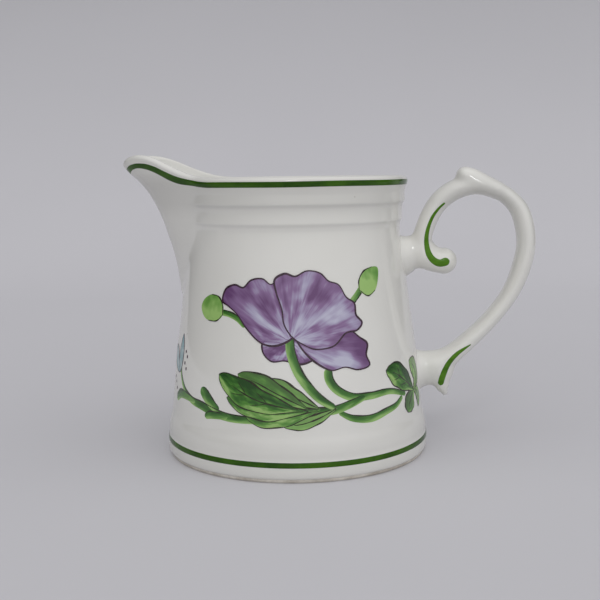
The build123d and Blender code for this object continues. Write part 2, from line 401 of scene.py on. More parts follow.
def limb_distance(limb, points):
    """Roughly the distance of each point from one limb's surface, negative inside."""
    flat = points[:, (0, 2)]
    start, leg = limb[:-1, :2], np.diff(limb[:, :2], axis=0)
    offset = flat[:, None, :] - start[None]
    share = np.clip((offset * leg).sum(-1) / (leg * leg).sum(-1), 0, 1)
    gap = ((offset - share[..., None] * leg) ** 2).sum(-1)
    best = gap.argmin(axis=1)
    rows = np.arange(len(points))
    t = share[rows, best][:, None]
    size = limb[best, 2:] * (1 - t) + limb[best + 1, 2:] * t
    away = np.sqrt(gap[rows, best]) / size[:, 0]
    across = np.abs(points[:, 1]) / size[:, 1]
    reach = (away ** LIMB_SQUARENESS + across ** LIMB_SQUARENESS) ** (1 / LIMB_SQUARENESS)
    return (reach - 1) * size.min(axis=1)


def handle_distance(points):
    """Distance from the whole handle, its limbs blended and its ends cut just inside the wall."""
    total = limb_distance(LIMBS[0], points)
    for limb in LIMBS[1:]:
        other = limb_distance(limb, points)
        mix = np.clip(0.5 + 0.5 * (other - total) / LIMB_BLEND, 0, 1)
        total = other + (total - other) * mix - LIMB_BLEND * mix * (1 - mix)
    out = np.hypot(points[:, 0], points[:, 1])
    return np.maximum(total, barrel_at(points[:, 2]) - HANDLE_BITE - out)


def handle_slope(points, value):
    """Gradient of the handle's distance at each point, whose distance there is the value."""
    step = 0.02
    return np.stack([handle_distance(points + step * axis) - value for axis in np.eye(3)], axis=-1) / step


def settle(points):
    """Move points onto the handle's surface along its gradient."""
    for _ in range(SETTLE_ROUNDS):
        value = handle_distance(points)
        slope = handle_slope(points, value)
        size = np.maximum((slope ** 2).sum(-1), 0.05)
        points = points - np.clip(value / size, -LARGEST_MOVE, LARGEST_MOVE)[:, None] * slope
    return points


def relax(points, links):
    """Even out a mesh's points by moving each to the mean of its neighbours."""
    for _ in range(RELAX_ROUNDS):
        total = np.zeros_like(points)
        count = np.zeros(len(points))
        for a, b in ((0, 1), (1, 0)):
            np.add.at(total, links[:, a], points[links[:, b]])
            np.add.at(count, links[:, a], 1)
        points = points * 0.4 + 0.6 * total / count[:, None]
    return points


def rough_handle():
    """Overlapping ellipsoids along the limbs, remeshed into one skin near the handle's surface."""
    mesh = bpy.data.meshes.new("handle_rough")
    shape = bmesh.new()
    for limb in LIMBS:
        for x, z, thick, wide in limb[::3]:
            size = Matrix.Diagonal((thick * MM, wide * MM, thick * MM, 1))
            place = Matrix.Translation((x * MM, 0, z * MM)) @ size
            bmesh.ops.create_icosphere(shape, subdivisions=2, radius=1.0, matrix=place)
    shape.to_mesh(mesh)
    shape.free()
    rough = in_scene("handle_rough", mesh)
    remesh = rough.modifiers.new("skin", "REMESH")
    remesh.mode, remesh.voxel_size = "VOXEL", HANDLE_VOXEL * MM
    evaluated = rough.evaluated_get(bpy.context.evaluated_depsgraph_get())
    final = bpy.data.meshes.new_from_object(evaluated)
    points = np.array([tuple(vertex.co) for vertex in final.vertices]) / MM
    links = np.array([tuple(edge.vertices) for edge in final.edges])
    faces = [tuple(face.vertices) for face in final.polygons]
    bpy.data.objects.remove(rough)
    for used in (mesh, final):
        bpy.data.meshes.remove(used)
    return points, links, faces


def build_handle():
    """The handle as one skin; points deep inside the vessel's wall are first brought out to the cut."""
    points, links, faces = rough_handle()
    deep = (barrel_at(points[:, 2]) - HANDLE_BITE) / np.hypot(points[:, 0], points[:, 1])
    points[:, :2] *= np.maximum(deep, 1.0)[:, None]
    for _ in range(2):
        points = relax(settle(points), links)
    return mesh_object("handle_strap", settle(points), faces)


# ---------------- enamel lines
# Section of an enamel line: share of its width, then share of its rise
LINE_SECTION = [(0.0, -1.0), (0.03, 0.3), (0.12, 0.85), (0.3, 1.0),
                (0.7, 1.0), (0.88, 0.85), (0.97, 0.3), (1.0, -1.0)]


def enamel_band(name, turns, low, high):
    """A thin closed band of enamel on the vessel's wall between two heights, given per column."""
    rings = []
    for share, rise in LINE_SECTION:
        height = low + (high - low) * share
        rings.append(wall_point(turns, height) + rise * ENAMEL_RISE * wall_normal(turns, height))
    return closed_loop(name, rings)


def build_rim_line():
    wobble = 0.04 * np.sin(3 * TURNS + 1.0) + 0.03 * np.sin(7 * TURNS)
    away = np.abs(TURNS)
    on_side = smoothstep(0.68, 0.34, away)
    at_tip = smoothstep(0.35, 0.12, away)
    top = TOP - LINE_DROP - SIDE_LINE_DROP * on_side - TIP_LINE_DROP * at_tip + wobble
    growth = SIDE_LINE_GROWTH * on_side * smoothstep(0.15, 0.4, away)
    width = LINE_WIDTH * (1 + growth - TIP_LINE_THINNING * at_tip)
    return enamel_band("rim_enamel", TURNS, top - width, top)


def build_base_line():
    wobble = 0.05 * np.sin(2 * TURNS + 0.4) + 0.03 * np.sin(5 * TURNS)
    return enamel_band("base_enamel", TURNS, BASE_LINE[0] + wobble, BASE_LINE[1] + wobble)


# Strokes on the side of the handle: x, z, width
CURL_STROKE = [
    (47.66, 79.79, 0.55), (46, 78.25, 0.7), (44.23, 75.88, 0.85), (43.01, 73.1, 0.95),
    (42.27, 69.94, 1.15), (42.27, 66.77, 1.35), (42.96, 63.91, 1.6), (44.48, 61.85, 1.8),
    (46.39, 60.97, 2), (48.15, 61.38, 2.2),
]
SPUR_STROKE = [
    (56.15, 34.81, 0.3), (54.1, 33.45, 0.8), (51.86, 31.74, 1.15), (49.81, 29.43, 1.4),
    (48.34, 26.84, 1.6), (47.37, 24.16, 1.7), (46.92, 22.28, 1.6),
]
STROKE_COLUMNS = 9
STROKE_RISE = 0.12
STROKE_SINK = 0.15  # how far its underside lies in the handle
STROKE_BREADTH = 1.2  # the finished stroke is this much broader than its line
CAP_STEPS = 6  # rows in each rounded end
NARROWEST = 0.04  # share of the width that its last row keeps
DROP_START, DROP_ROUNDS = 7.0, 30  # where points start beside the handle, and steps down onto it


def on_handle_side(flat, side):
    """Drop points of the XZ plane onto the handle's front (side -1) or back (side 1) face."""
    points = np.column_stack([flat[:, 0], np.full(len(flat), side * DROP_START), flat[:, 1]])
    for _ in range(DROP_ROUNDS):
        points[:, 1] -= side * 0.8 * handle_distance(points)
    return points


def build_stroke(name, line, side):
    """A brush stroke laid on one side of the handle, thicker along its middle, with round ends."""
    rows = through(line, STEM_SPACING)
    along, across = directions(rows)
    half = rows[:, 2:3] * STROKE_BREADTH / 2
    bends = np.linspace(0, math.pi / 2, CAP_STEPS + 1)[1:, None]
    narrowed = np.maximum(np.cos(bends), NARROWEST)
    first, last = (rows[end, :2] + way * along[end] * half[end] * np.sin(bends)
                   for end, way in ((0, -1), (-1, 1)))
    centres = np.concatenate([first[::-1], rows[:, :2], last])
    halves = np.concatenate([half[0] * narrowed[::-1], half, half[-1] * narrowed])
    sideways = np.pad(across, ((CAP_STEPS, CAP_STEPS), (0, 0)), mode="edge")
    rings = [on_handle_side(centres + sideways * halves * share, side)
             for share in np.linspace(-1, 1, STROKE_COLUMNS)]
    return closed_patch(name, np.stack(rings, axis=1))


def closed_patch(name, grid):
    """A thin closed shell over a grid of points on the handle, domed a little and sunk at its edges."""
    flat = grid.reshape(-1, 3)
    normal = unit(handle_slope(flat, handle_distance(flat))).reshape(grid.shape)
    rows, columns = grid.shape[:2]
    dome = (1 - np.abs(np.linspace(-1, 1, columns)) ** 6) * STROKE_RISE
    top = grid + normal * (dome[None, :, None] - 0.01)
    bottom = grid - normal * STROKE_SINK
    points = np.concatenate([top.reshape(-1, 3), bottom.reshape(-1, 3)])
    piece = mesh_object(name, points, grid_shell(rows, columns))
    outward_faces(piece)
    return piece


def outward_faces(piece):
    """Turn every face of a closed mesh outwards."""
    shape = bmesh.new()
    shape.from_mesh(piece.data)
    bmesh.ops.recalc_face_normals(shape, faces=shape.faces)
    shape.to_mesh(piece.data)
    shape.free()


vessel = build_vessel()
foot_ring = build_foot_ring()
handle = build_handle()
rim_line = build_rim_line()
base_line = build_base_line()
strokes = {}
for place, side in (("front", -1), ("back", 1)):
    strokes["scroll_line_" + place] = build_stroke("scroll_enamel_" + place, CURL_STROKE, side)
    strokes["spur_line_" + place] = build_stroke("spur_enamel_" + place, SPUR_STROKE, side)


# ---------------- painted spray
# Shapes are drawn in millimetres on the unrolled barrel: across from the spray's middle, then height.
# Each is a thin closed shell whose points carry "paint", three numbers that its material colours by.
SPRAY_FRONT = math.radians(95.0)  # turn of the spray's middle on the front, and on the back
SPRAY_BACK = math.radians(-85.0)
BARREL_SPREAD = 38.0  # radius that turns millimetres across into an angle
PAINT_SINK = 0.15  # how far a shell's underside lies inside the glaze
FILL_SPACING = 0.9
LINE_SPACING = 0.45

# Poppy petals from the bottom layer up: tone, then the outline beginning at the heart
PETALS = [
    (0.6, [(-0.3, 42.6), (-4.7, 41.4), (-9.6, 41.4), (-9.8, 38.2), (-7.2, 35.7), (-3.4, 35.9),
     (0.2, 34.9), (3.4, 35.4), (5.6, 37.3), (2.7, 40.4)]),
    (1, [(0.2, 42.3), (5, 39.2), (10.5, 39.9), (13.6, 42.8), (16.7, 43.7), (19.4, 41.7), (22, 39.6),
     (21.3, 36.3), (22.2, 33.2), (18.2, 32.3), (14.1, 33.4), (9.8, 32.8), (5.1, 35.5), (1.6, 39.2)]),
    (0.35, [(-0.9, 42.9), (-5.6, 40.3), (-10.3, 40.9), (-14.7, 44.5), (-18.4, 48.8), (-21.7, 51.1),
     (-24.2, 52.6), (-23.2, 56.1), (-19.9, 57.5), (-16.8, 56.8), (-14.2, 59), (-10.5, 59.5),
     (-7.8, 57.9), (-5.2, 59), (-3.2, 56.3), (-3.1, 50.7), (-2.5, 46.6)]),
    (0, [(-1.3, 42.8), (-3.6, 46.4), (-4.3, 50.8), (-6.1, 55.9), (-6.5, 59.3), (-3.4, 61), (-0.1, 60.2),
     (3.5, 61.7), (7.6, 61), (10.3, 58.6), (13.6, 57.3), (15.8, 53.7), (18.5, 51.7), (18.8, 48.3),
     (20.7, 45.9), (18.7, 43.8), (14.9, 43.2), (11, 39.8), (5.7, 39.1), (1.7, 40.7)]),
]
PETAL_RISES = (0.09, 0.12, 0.18, 0.2)
LINE_STEP = 0.01  # how far a drawn line stands off the fill that it edges
PETAL_HEART = (-1.8, 41.4)
# Buds: tone, then the outline beginning where the stem meets it
BUDS = [
    (0.5, [(-24, 48.4), (-24.2, 51.4), (-26, 53.7), (-29, 54.2), (-32.2, 52.8), (-33.8, 50.4),
     (-32.6, 47.8), (-30, 46.4), (-26.4, 46.5)]),
    (0.75, [(20.8, 55.4), (21, 58.4), (23.2, 60.9), (26.6, 61.9), (29.4, 61.4), (29, 58.2), (27.2, 54.9),
     (24, 53.5)]),
]
# Stems: how far they stand off, then across, height and width; the shaded edge is on the left
STEMS = [
    (0.03, [(-24.6, 49.2, 1.9), (-21.4, 48.8, 1.8), (-18.4, 47.6, 1.7), (-15.6, 45.4, 1.6)]),
    (0.03, [(22.6, 57, 1.9), (20, 54.2, 2), (17.2, 51.6, 1.9), (14.6, 49.4, 1.6)]),
    (0.03, [(11.6, 20.4, 1.3), (15.8, 18.2, 2), (21.6, 17.4, 2.3), (27.6, 18.6, 2.1), (32, 19.7, 1.8),
     (35.2, 21.7, 1.4)]),
    (0.035, [(8.9, 33.4, 2.5), (9.2, 30, 2.6), (11.5, 26.8, 2.5), (15.9, 24.5, 2.4), (22.2, 24.1, 2.2),
     (29.4, 24.3, 1.9), (37.2, 22.1, 1.5)]),
    (0.04, [(-3, 24.2, 1.5), (3.2, 21.7, 2.2), (9.2, 21, 2.5), (14.6, 22.3, 2.4), (20, 24.1, 1.7)]),
    (0.15, [(-1.9, 44, 2.3), (-1.7, 38.6, 2.7), (0.2, 32.8, 2.7), (3, 28.4, 2.6), (6.4, 24.6, 2.4),
     (10.4, 21.8, 1.8)]),
    (0.03, [(-44.2, 30.8, 0.8), (-43.4, 27.8, 1.2), (-40.4, 24.1, 1.7), (-35.6, 21.5, 2.2),
     (-30.2, 20.5, 2.6), (-24.4, 19.1, 2.6), (-18, 18.3, 2.4), (-9, 18.4, 2)]),
    (0.035, [(-30.8, 26, 2.9), (-28.6, 23.8, 3.4), (-26.4, 21.8, 3), (-23.6, 19.8, 2.2)]),
    (0.035, [(-46.4, 19.8, 2.6), (-43, 22, 3), (-38.4, 22, 2.3), (-33.6, 21.2, 1.6)]),
    (0.035, [(-28.8, 17.5, 1.8), (-26.4, 18.4, 2.4), (-20.4, 18.6, 1.8)]),
]
# Leaflets: tone, half width, then the midrib from the tip to the stem, from the bottom layer up
LEAFLETS = [
    (1, 1.7, [(-4.2, 17), (1.2, 17.5), (6, 19.1), (11.2, 21.7)]),
    (0.2, 2.8, [(-14.6, 19.2), (-9, 18.9), (-2.4, 19.7), (6.4, 21.6)]),
    (0.75, 2.5, [(-9.8, 30.4), (-5.2, 28.2), (0, 25), (6.2, 21.8)]),
    (0.3, 3.1, [(-17.4, 31.6), (-11.6, 29.4), (-5.4, 26.2), (3, 21.8)]),
    (0.1, 3.2, [(-20.8, 24.4), (-14.4, 22.6), (-7.6, 21.2), (3, 21.2)]),
    (0, 3.9, [(-23.8, 31), (-18, 27.4), (-10.6, 24), (0.6, 21.4)]),
    (0.9, 1.9, [(46.4, 16), (47.2, 19), (45.4, 21.6), (42, 22.6)]),
    (0.7, 3, [(41.6, 31.6), (45.2, 28.8), (46, 25.2), (43.2, 22)]),
    (0.2, 3.1, [(37.8, 16), (39.2, 18.4), (41, 20.6), (43.4, 22.2)]),
    (0, 3.7, [(28.4, 30.6), (32.6, 29.2), (37.6, 26), (43, 22)]),
]
# Small pale flower under the spout: its petals' outlines, then dots round it
SMALL_PETALS = [
    [(-44.6, 28.6), (-46.4, 31.6), (-46.8, 35.2), (-45.8, 38.2), (-44.6, 40.4), (-43.2, 36.8),
     (-43.2, 32.2)],
    [(-45.2, 28.4), (-48.6, 29), (-52, 31.6), (-53.6, 35.6), (-50.2, 35.6), (-47.2, 32.6)],
]
DOTS = [(-41.2, 35.4), (-40, 34), (-41.4, 31.8), (-40.2, 30.2), (-48.6, 24.8), (-47.2, 23), (-50.4, 26)]
DOT_RADIUS = 0.42


def filled(outline, rise, paint_at):
    """A thin closed shell over the inside of an outline: flat points, faces, heights and paint."""
    low, high = outline.min(axis=0), outline.max(axis=0)
    grid = np.stack(np.meshgrid(np.arange(low[0], high[0], FILL_SPACING),
                                np.arange(low[1], high[1], FILL_SPACING)), axis=-1).reshape(-1, 2)
    clear = np.linalg.norm(grid[:, None] - outline[None], axis=-1).min(axis=1) > FILL_SPACING / 2
    spots = [Vector(p) for p in np.concatenate([outline, grid[clear]])]
    flat, _, faces, *_ = delaunay_2d_cdt(spots, [], [list(range(len(outline)))], 1, 1e-4)
    flat = np.array([tuple(p) for p in flat])
    count = len(flat)
    edges = [edge for face in faces for edge in zip(face, list(face[1:]) + [face[0]])]
    known = set(edges)
    shell = [tuple(face) for face in faces] + [tuple(i + count for i in face[::-1]) for face in faces]
    shell += [(b, a, a + count, b + count) for a, b in edges if (b, a) not in known]
    heights = np.repeat((rise, -PAINT_SINK), count)
    return np.concatenate([flat, flat]), shell, heights, np.tile(paint_at(flat), (2, 1))


def ribbon(rows, rise, tone=0.0):
    """A thin closed shell along a line of across, height and width; paint runs from side to side."""
    _, side = directions(rows)
    shares = np.array([-1.0, -0.55, 0.0, 0.55, 1.0])
    flat = rows[:, None, :2] + side[:, None] * (rows[:, 2:3] / 2 * shares)[..., None]
    flat = flat.reshape(-1, 2)
    paint = np.stack(np.broadcast_arrays(shares[None], travelled(rows)[:, None], tone), axis=-1)
    paint = np.tile(paint.reshape(-1, 3), (2, 1))
    heights = np.repeat((rise, -PAINT_SINK), len(flat))
    return np.concatenate([flat, flat]), grid_shell(len(rows), len(shares)), heights, paint


def rounded(rows):
    """The same rows with both ends drawn in, so that a ribbon along them ends in a half circle."""
    travel = travelled(rows)
    from_end = np.minimum(travel, travel[-1] - travel) / (rows[:, 2] / 2)
    rows[:, 2] *= np.sqrt(np.clip(1 - (1 - np.minimum(from_end, 1)) ** 2, 0.02, 1))
    return rows


def tapered(points, width, ends=0.35, closed=False, spacing=LINE_SPACING):
    """Rows of a pen line whose width swells and thins along the way."""
    flat = through(points, spacing, closed)
    if closed:
        flat = np.concatenate([flat, flat[:1]])
    share = np.linspace(0, 1, len(flat))
    swell = 0.8 + 0.2 * np.sin(TAU * (2.3 * share + flat[0, 0])) + 0.1 * np.sin(TAU * 5.1 * share)
    if not closed:
        swell = swell * (ends + (1 - ends) * np.sin(math.pi * np.clip(share, 0.02, 0.98)) ** 0.6)
    return np.column_stack([flat, width * swell])


def petal_paint(outline, tone):
    """Paint for a petal: the angle about the heart, the share of the way to the edge, and its tone."""
    heart = np.array(PETAL_HEART)
    sectors = 72

    def polar(flat):
        away = flat - heart
        angle = np.arctan2(away[:, 1], away[:, 0])
        return angle, np.hypot(*away.T), (angle + math.pi) / TAU * sectors

    farthest = np.zeros(sectors + 1)
    _, outline_reach, outline_sector = polar(outline)
    np.maximum.at(farthest, outline_sector.astype(int), outline_reach)
    seen = np.flatnonzero(farthest > 0)
    edge = np.interp(np.arange(sectors + 1), seen, farthest[seen])

    def paint_at(flat):
        angle, reach, sector = polar(flat)
        whole = np.maximum(np.interp(sector, np.arange(sectors + 1), edge), 1.0)
        return np.column_stack([angle, reach / whole, np.full(len(flat), tone)])
    return paint_at


def leaflet(tone, half_width, midrib, rise):
    """A pointed leaflet: its filled shell, then its outline and veins as lines."""
    mid = through(midrib, 0.3)
    along, side = directions(mid)
    share = np.linspace(0, 1, len(mid))
    length = travelled(mid)[-1]
    lobes = 1 + 0.05 * np.sin(share * 17 + mid[0, 0])
    reach = half_width * np.sin(math.pi * share ** 0.75) ** 0.9 * lobes
    edges = [mid + way * side * reach[:, None] for way in (1, -1)]
    outline = np.concatenate([edges[0], edges[1][::-1][1:-1]])

    def paint_at(flat):
        nearest = np.linalg.norm(flat[:, None] - mid[None], axis=-1).argmin(axis=1)
        across = ((flat - mid[nearest]) * side[nearest]).sum(axis=1) / np.maximum(reach[nearest], 0.6)
        across = np.clip(across, -1, 1)
        return np.column_stack([across, share[nearest] * length, np.full(len(flat), tone)])

    shell = filled(outline, rise, paint_at)
    lines = [ribbon(tapered(mid[len(mid) // 5:][::6], 0.5, 0.25), rise + LINE_STEP)]
    for edge, width in zip(edges, (0.6, 0.42)):
        lines.append(ribbon(tapered(edge[::3], width, 0.25, spacing=0.3), rise + LINE_STEP))
    for start in (0.42, 0.66) if half_width > 3.3 else ():
        root = int(start * len(mid))
        tip = root - len(mid) // 6
        for way in (1, -1):
            end = mid[tip] + way * side[tip] * reach[tip] * 0.6
            vein = [mid[root], (mid[root] + end) / 2 + along[root] * 0.2, end]
            lines.append(ribbon(tapered(vein, 0.3, 0.25), rise + LINE_STEP))
    return shell, lines


def on_barrel(flat, heights, middle):
    """Millimetres across and up, carried round the vessel and stood off its wall."""
    turn = middle + flat[:, 0] / BARREL_SPREAD
    turn = (turn + math.pi) % TAU - math.pi
    return wall_point(turn, flat[:, 1]) + heights[:, None] * wall_normal(turn, flat[:, 1])


def painted(name, shells, middle):
    """One object from several shells laid on the vessel, with their paint as an attribute."""
    start, points, faces, paint = 0, [], [], []
    for flat, shell, heights, colour in shells:
        points.append(on_barrel(flat, heights, middle))
        faces += [tuple(i + start for i in face) for face in shell]
        paint.append(colour)
        start += len(flat)
    piece = mesh_object(name, np.concatenate(points), faces)
    values = piece.data.attributes.new("paint", "FLOAT_VECTOR", "POINT")
    values.data.foreach_set("vector", np.concatenate(paint).astype(np.float32).ravel())
    piece.data.set_sharp_from_angle(angle=math.radians(40))
    return piece


def add_stems(shells):
    for i, (rise, stem) in enumerate(STEMS):
        rows = rounded(through(stem, STEM_SPACING))
        shells["stems"].append(ribbon(rows, rise, tone=0.1 * i))
        _, side = directions(rows)
        edge = rows[:, :2] + side * (rows[:, 2:3] / 2 - 0.1)
        shells["veins"].append(ribbon(tapered(edge[3:-3:4], 0.45, 0.3), rise + LINE_STEP))


def add_leaves(shells):
    for i, (tone, half_width, midrib) in enumerate(LEAFLETS):
        fill, lines = leaflet(tone, half_width, midrib, 0.06 + 0.014 * (i % 6))
        shells["leaves"].append(fill)
        shells["veins"] += lines


def add_poppy(shells):
    for rise, (tone, points) in zip(PETAL_RISES, PETALS):
        outline = through(points, LINE_SPACING, closed=True)
        shells["petals"].append(filled(outline, rise, petal_paint(outline, tone)))
        shells["outlines"].append(ribbon(tapered(points, 0.62, closed=True), rise + LINE_STEP))


def add_buds(shells):
    for tone, points in BUDS:
        outline = through(points, 0.4, closed=True)
        centre = outline.mean(axis=0)
        size = np.abs(outline - centre).max()

        def paint_at(flat):
            return np.column_stack([(flat - centre) / size, np.full(len(flat), tone)])
        shells["buds"].append(filled(outline, 0.1, paint_at))
        for stretch, width in ((points[:4], 0.5), (points[-2:] + points[:1], 0.4)):
            shells["veins"].append(ribbon(tapered(stretch, width, 0.25), 0.12))


def add_small_flower(shells):
    def paint_at(flat):
        return np.column_stack([flat, np.zeros(len(flat))])
    for points in SMALL_PETALS:
        shells["pale"].append(filled(through(points, LINE_SPACING, closed=True), 0.08, paint_at))
        shells["outlines"].append(ribbon(tapered(points, 0.26, closed=True), 0.1))
    bends = np.linspace(0, TAU, 12, endpoint=False)
    for middle in DOTS:
        dot = np.array(middle) + DOT_RADIUS * np.column_stack([np.cos(bends), 1.3 * np.sin(bends)])
        shells["outlines"].append(filled(dot, 0.06, lambda flat: np.zeros((len(flat), 3))))


def spray_shells():
    """Every shell of the spray, sorted by the colour it is painted in."""
    shells = {kind: [] for kind in ("petals", "outlines", "leaves", "stems", "buds", "veins", "pale")}
    for add in (add_stems, add_leaves, add_poppy, add_buds, add_small_flower):
        add(shells)
    return shells


spray = {}
for place, middle in (("front", SPRAY_FRONT), ("back", SPRAY_BACK)):
    for kind, shells in spray_shells().items():
        spray[kind + "_" + place] = painted("spray_" + kind + "_" + place, shells, middle)


# ---------------- set and camera
def look_camera():
    """The camera, set by its distance, height and tilt round the jug."""
    distance, height = 320.8 * MM, 90.3 * MM
    orbit, yaw, pitch, roll = np.radians((5.0, 0.241, 7.39, -0.79))
    aim = Matrix.Rotation(-yaw, 4, "Z") @ Matrix.Rotation(math.pi / 2 - pitch, 4, "X")
    place = Matrix.Translation((0.0, -distance, height)) @ aim @ Matrix.Rotation(roll, 4, "Z")
    data = bpy.data.cameras.new("camera")
    data.lens, data.sensor_width = 59.3, 36.0
    data.clip_start, data.clip_end = 0.01, 20.0
    camera = in_scene("camera", data)
    camera.matrix_world = Matrix.Rotation(orbit, 4, "Z") @ place
    bpy.context.scene.camera = camera


def area_light(name, place, target, size, power):
    data = bpy.data.lights.new(name, "AREA")
    data.shape, data.size, data.energy = "SQUARE", size, power
    light = in_scene(name, data)
    light.location = place
    light.rotation_euler = (Vector(target) - Vector(place)).to_track_quat("-Z", "Y").to_euler()


def paint(piece, material):
    piece.data.materials.append(material)


def backdrop():
    """A pale sweep of paper, in metres: a floor that curves up into a wall."""
    left, right, front, back, bend, top = -0.62, 0.52, -0.27, 0.9, 0.5, 2.2
    line = [(front, 0.0), (0.2, 0.0), (back - bend, 0.0)]
    for angle in np.linspace(0, math.pi / 2, 25)[1:]:
        line.append((back - bend + bend * math.sin(angle), bend - bend * math.cos(angle)))
    line.append((back, top))
    points = [(x / MM, y / MM, z / MM) for x in (left, right) for y, z in line]
    count = len(line)
    faces = [(i, count + i, count + i + 1, i + 1) for i in range(count - 1)]
    sheet = mesh_object("backdrop", points, faces)
    return sheet


# ---------------- materials
# Colours are given as screen red, green and blue
PAPER = ((193, 192, 196), (197, 196, 200))
GLAZE = ((228, 227, 221), (233, 232, 227))
SPECK = (150, 140, 120)
BARE = ((176, 168, 156), (214, 209, 199))
LINE_GREEN = ((34, 70, 2), (58, 100, 8))
STROKE_GREEN = ((58, 100, 10), (88, 138, 26))
YOUNG_LEAF = (140, 184, 104)
BLACK = (0.0, 0.0, 0.0, 1.0)
# Painted colours: how their streaks are stretched and how detailed they are, the part of the paint that
# shades them and by how much from one side to the other, how much tone adds, then the ramp
WASHES = {
    "leaves": ((1.6, 0.16, 6.0), 3.0, "X", (0.17, -0.13), 0.0,
               [(0.36, 34, 74, 26), (0.5, 56, 106, 38), (0.6, 84, 138, 54), (0.72, 150, 188, 108)]),
    "stems": ((0.6, 0.12, 6.0), 2.0, "X", (0.28, -0.22), 0.0,
              [(0.3, 42, 88, 30), (0.52, 72, 126, 48), (0.8, 148, 188, 108)]),
    "buds": ((1.0, 0.8, 6.0), 2.0, "Y", (0.22, -0.22), 0.3,
             [(0.25, 60, 112, 44), (0.5, 112, 162, 76), (0.72, 160, 198, 116)]),
    "pale": ((0.5, 0.25, 1.0), 3.0, "X", (0.0, 0.0), 0.0, [(0.35, 120, 160, 166), (0.65, 186, 206, 208)]),
    "veins": ((0.6, 0.8, 1.0), 2.0, "X", (0.0, 0.0), 0.0, [(0.35, 26, 32, 18), (0.65, 56, 54, 34)]),
    "outlines": ((0.6, 0.7, 1.0), 2.0, "X", (0.0, 0.0), 0.0, [(0.35, 40, 20, 34), (0.65, 72, 44, 64)]),
}


def srgb(red, green, blue):
    """A linear colour from screen values of 0 to 255."""
    return tuple((v / 255 / 12.92) if v < 10.3 else ((v / 255 + 0.055) / 1.055) ** 2.4
                 for v in (red, green, blue)) + (1.0,)


def put(tree, kind, inputs, **settings):
    """A shader node; its inputs take values or the sockets of other nodes."""
    node = tree.nodes.new("ShaderNode" + kind)
    for key, value in settings.items():
        setattr(node, key, value)
    for key, value in inputs.items():
        if isinstance(value, bpy.types.NodeSocket):
            tree.links.new(value, node.inputs[key])
        else:
            node.inputs[key].default_value = value
    return node


def parts_of(tree, vector):
    return put(tree, "SeparateXYZ", {"Vector": vector}).outputs


def stretched(tree, vector, scale):
    return put(tree, "VectorMath", {0: vector, 1: scale}, operation="MULTIPLY").outputs[0]


def noise(tree, vector, scale, detail=3.0, roughness=0.5):
    return put(tree, "TexNoise", {"Vector": vector, "Scale": scale, "Detail": detail,
                                  "Roughness": roughness}).outputs["Fac"]


def ramp(tree, value, stops):
    """A colour ramp through stops of a position and its colour."""
    node = put(tree, "ValToRGB", {"Fac": value})
    bands = node.color_ramp.elements
    while len(bands) < len(stops):
        bands.new(0.5)
    for band, (position, *colour) in zip(bands, stops):
        band.position, band.color = position, srgb(*colour)
    return node.outputs["Color"]


def blend(tree, share, first, second):
    return put(tree, "MixRGB", {"Fac": share, "Color1": first, "Color2": second}).outputs["Color"]


def joined(tree, first, second, operation="ADD"):
    return put(tree, "Math", {0: first, 1: second}, operation=operation).outputs[0]


def level(tree, value, low, high, to_low, to_high):
    """A value carried from one range to another, and held at its ends."""
    return put(tree, "MapRange", {"Value": value, "From Min": low, "From Max": high,
                                  "To Min": to_low, "To Max": to_high}).outputs["Result"]


def surface(name, roughness, coat=0.0):
    """A new material, its tree, its principled shader and the object's coordinates."""
    material = bpy.data.materials.new(name)
    material.use_nodes = True
    shader = material.node_tree.nodes["Principled BSDF"]
    settings = {"Roughness": roughness, "IOR": 1.55, "Coat Weight": coat, "Coat Roughness": 0.04}
    for key, value in settings.items():
        shader.inputs[key].default_value = value
    at = put(material.node_tree, "TexCoord", {}).outputs["Object"]
    return material, material.node_tree, shader, at


def feed(shader, name, socket):
    shader.id_data.links.new(socket, shader.inputs[name])


def relief(tree, shader, height, strength, distance=0.1):
    bump = put(tree, "Bump", {"Height": height, "Strength": strength, "Distance": distance * MM})
    feed(shader, "Normal", bump.outputs["Normal"])


def rough_by(tree, shader, value, low, high):
    feed(shader, "Roughness", level(tree, value, 0.3, 0.7, low, high))


def paper_material():
    """Cloudy grey paper with a fine grain, with painted shade making it a little darker toward the front
    and up the wall, and a faint glow of painted light.
    """
    material, tree, shader, at = surface("paper", 0.9)
    parts = parts_of(tree, at)
    tint = ramp(tree, noise(tree, at, 2.2, 2.0), [(0.3, *PAPER[0]), (0.7, *PAPER[1])])
    # Painted shade: the paper is darkened a little toward the front of the floor and up the wall.
    tint = blend(tree, level(tree, parts["Y"], -0.1, 0.35, 0.03, 0.0), tint, BLACK)
    tint = blend(tree, level(tree, parts["Z"], 0.0, 0.3, 0.0, 0.16), tint, BLACK)
    feed(shader, "Base Color", tint)
    # Painted light: the paper glows faintly in its own colour, which lifts the shadows on it and the light
    # it throws back onto the jug.
    feed(shader, "Emission Color", tint)
    shader.inputs["Emission Strength"].default_value = 0.12
    relief(tree, shader, noise(tree, at, 900.0, 2.0), 0.06)
    return material


